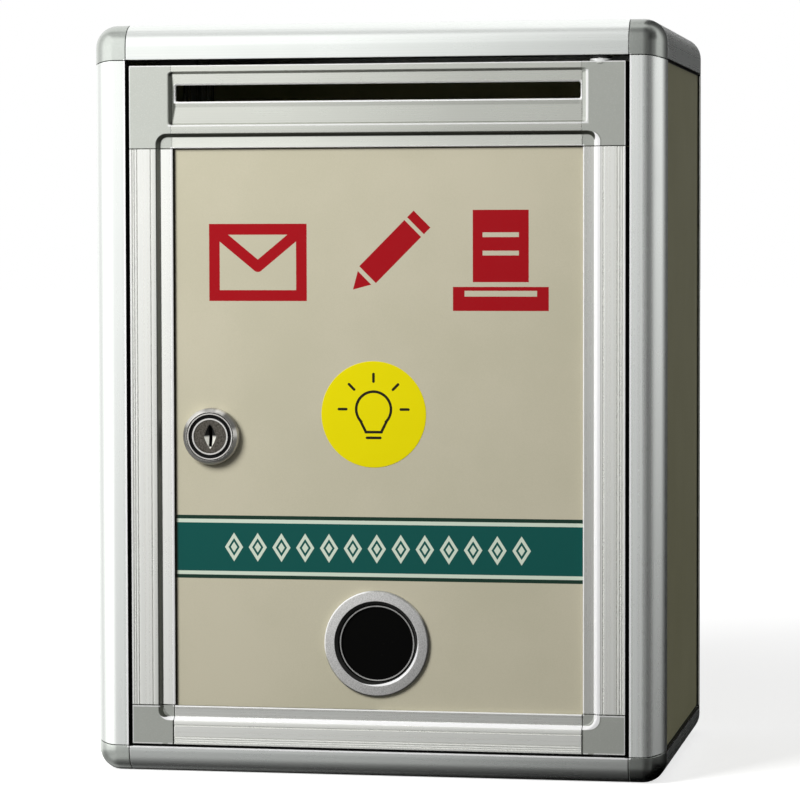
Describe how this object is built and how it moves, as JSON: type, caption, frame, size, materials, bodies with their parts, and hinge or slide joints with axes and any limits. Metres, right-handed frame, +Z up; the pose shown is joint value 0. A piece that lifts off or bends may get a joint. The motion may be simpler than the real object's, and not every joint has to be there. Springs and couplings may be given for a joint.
{
  "type": "suggestion box",
  "caption": "Lockable suggestion box with a letter slot above a hinged front door, a cam lock and a small round window in the door.",
  "frame": {"origin": "middle of the box's outer footprint, on the surface that it stands on", "axes": "+Z up, the door faces -Y, +X to the right as seen from the front"},
  "size_m": [0.223, 0.151, 0.2909],
  "materials": {
    "aluminium": "satin anodised",
    "grey_plastic": "matte moulded",
    "black_plastic": "matte moulded",
    "beige_paint": "satin powder coat",
    "zinc_steel": "zinc plated",
    "chrome": "polished",
    "dark_acrylic": "gloss"
  },
  "bodies": {
    "case": {"front_post_left": "aluminium", "front_post_right": "aluminium", "front_rail_bottom": "aluminium", "front_rail_top": "aluminium", "rear_post_left": "aluminium", "rear_post_right": "aluminium", "rear_rail_bottom": "aluminium", "rear_rail_top": "aluminium", "side_rail_bottom_left": "aluminium", "side_rail_bottom_right": "aluminium", "side_rail_top_left": "aluminium", "side_rail_top_right": "aluminium", "corner_front_bottom_left": "grey_plastic", "corner_front_bottom_right": "grey_plastic", "corner_front_top_left": "grey_plastic", "corner_front_top_right": "grey_plastic", "corner_rear_bottom_left": "grey_plastic", "corner_rear_bottom_right": "grey_plastic", "corner_rear_top_left": "grey_plastic", "corner_rear_top_right": "grey_plastic", "panel_left": "beige_paint", "panel_right": "beige_paint", "panel_top": "beige_paint", "panel_bottom": "beige_paint", "panel_back": "beige_paint", "pivot_bush_bottom": "black_plastic", "door_stop_bottom": "black_plastic", "pivot_bush_top": "black_plastic", "door_stop_top": "black_plastic"},
    "door": {"door_stile_left": "aluminium", "door_stile_right": "aluminium", "door_rail_bottom": "aluminium", "door_slot_rail": "aluminium", "door_corner_bottom_left": "grey_plastic", "door_corner_bottom_right": "grey_plastic", "pivot_pin_bottom": "zinc_steel", "door_corner_top_left": "grey_plastic", "door_corner_top_right": "grey_plastic", "pivot_pin_top": "zinc_steel", "door_panel": "beige_paint", "window_bezel": "aluminium", "window_lens": "dark_acrylic", "window_trim_ring": "aluminium", "window_retainer": "black_plastic", "window_nut": "black_plastic", "lock_housing": "chrome", "lock_washer": "zinc_steel", "lock_nut": "zinc_steel"},
    "lock_core": {"lock_plug": "chrome", "lock_cam": "zinc_steel", "lock_cam_screw": "zinc_steel"}
  },
  "joints": [
    {"name": "door_hinge", "type": "hinge", "parent": "case", "child": "door", "pos_m": [0.0868, -0.07, 0.0114], "axis": [0, 0, 1], "range_deg": [0, 110]},
    {"name": "lock_turn", "type": "hinge", "parent": "door", "child": "lock_core", "pos_m": [-0.0648, -0.0707, 0.1316], "axis": [0, 1, 0], "range_deg": [0, 90]}
  ]
}
